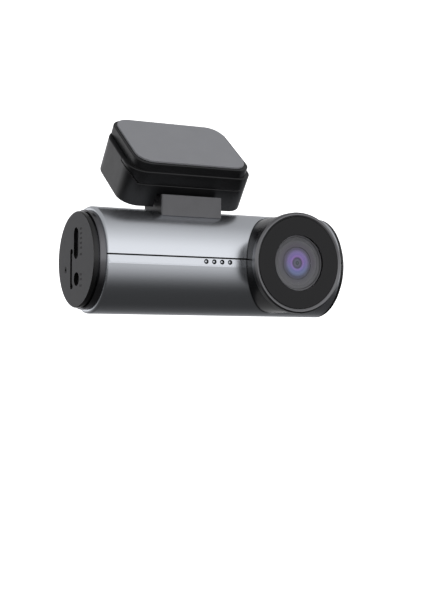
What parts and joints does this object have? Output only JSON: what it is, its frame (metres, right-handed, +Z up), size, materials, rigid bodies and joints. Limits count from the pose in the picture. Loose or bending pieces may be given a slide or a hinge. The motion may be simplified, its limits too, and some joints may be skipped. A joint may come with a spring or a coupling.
{
  "type": "dash camera",
  "caption": "Cylindrical windscreen dash camera: silver barrel, forward lens pod, rear screen box and sockets on one end, hung from a tilting slide-off adhesive mount.",
  "frame": {"origin": "centre of the adhesive face that sticks to the windscreen", "axes": "+Z up, the lens looks along -Y, the barrel lies along X with its sockets at the -X end"},
  "size_m": [0.0909, 0.0429, 0.0647],
  "materials": {
    "foam_grey": "matte closed-cell adhesive foam with a smooth film",
    "mount_black": "fine-grain moulded black",
    "silver": "satin silver-grey anodised",
    "bracket_black": "fine-grain moulded black",
    "bracket_grey": "satin mid grey",
    "housing_black": "satin moulded black",
    "port_grey": "matte dark grey, finely sparked",
    "pod_black": "satin black",
    "end_gunmetal": "glossy dark gunmetal",
    "bezel_grey": "dark grey anodised",
    "front_glass": "clear, polished",
    "mask_black": "printed black",
    "lens_grey": "satin dark grey",
    "lens_black": "matte black anodised",
    "lens_glass": "violet anti-reflection coating",
    "filter_glass": "coated",
    "screen_glass": "polished dark cover glass",
    "display": "dark panel with lit characters",
    "backlight_metal": "plain pressed steel",
    "pcb_green": "solder mask",
    "chip_black": "moulded epoxy",
    "sensor": "sensor window",
    "steel": "plated steel",
    "pin_steel": "ground steel",
    "fin_aluminium": "bare extruded",
    "nylon_white": "natural nylon",
    "frame_plastic": "moulded",
    "cell_sleeve": "shrink sleeve",
    "felt": "felt",
    "flex_amber": "polyimide film",
    "card_black": "moulded",
    "tape_black": "adhesive foam"
  },
  "bodies": {
    "windscreen_plate": {"adhesive_pad": "foam_grey", "base_plate": "mount_black"},
    "mount": {"mount_holder": "mount_black", "hinge_pin": "pin_steel", "pin_plug": "mount_black", "detent_spring": "steel"},
    "camera": {"bracket": "bracket_black", "bracket_cover": "bracket_grey", "friction_washers": "nylon_white", "bracket_backplate": "steel", "bracket_screws": "steel", "upper_shell": "silver", "lower_shell": "silver", "rear_housing": "housing_black", "port_end_frame": "end_gunmetal", "port_cover": "port_grey", "lens_end_frame": "end_gunmetal", "end_cover": "housing_black", "end_screws": "steel", "lens_pod": "pod_black", "bezel_ring": "bezel_grey", "front_glass": "front_glass", "glass_mask": "mask_black", "lens_barrel": "lens_black", "lens_ring": "lens_grey", "front_lens": "lens_glass", "middle_lens": "lens_glass", "rear_lens": "lens_glass", "lens_mount": "lens_black", "ir_filter": "filter_glass", "image_sensor": "sensor", "sensor_board": "pcb_green", "sensor_screws": "steel", "main_board": "pcb_green", "board_screws": "steel", "inner_frame": "frame_plastic", "frame_screws": "steel", "processor": "chip_black", "heat_spreader": "fin_aluminium", "memory_chips": "chip_black", "wifi_module": "steel", "usb_receptacle": "steel", "av_jack": "chip_black", "card_socket": "steel", "reset_switch": "chip_black", "speaker": "chip_black", "speaker_gasket": "felt", "microphone": "steel", "audio_board": "pcb_green", "supercapacitors": "cell_sleeve", "capacitor_cradle": "frame_plastic", "backlight": "backlight_metal", "display_panel": "display", "screen_tape": "tape_black", "screen_glass": "screen_glass", "camera_flex": "flex_amber", "display_flex": "flex_amber"},
    "reset_key": {"reset_button": "nylon_white"},
    "card": {"memory_card": "card_black"}
  },
  "joints": [
    {"name": "quick_release", "type": "slide", "parent": "windscreen_plate", "child": "mount", "axis": [0, 0.7997, 0.6004], "range_m": [0, 0.026]},
    {"name": "tilt", "type": "hinge", "parent": "mount", "child": "camera", "pos_m": [0, 0.0013, -0.017], "axis": [1, 0, 0], "range_deg": [-5, 35]},
    {"name": "reset_press", "type": "slide", "parent": "camera", "child": "reset_key", "axis": [1, 0, 0], "range_m": [0, 0.0003], "stiffness_N_per_m": 1000},
    {"name": "card_slide", "type": "slide", "parent": "camera", "child": "card", "axis": [-1, 0, 0], "range_m": [-0.0005, 0.0155]}
  ]
}
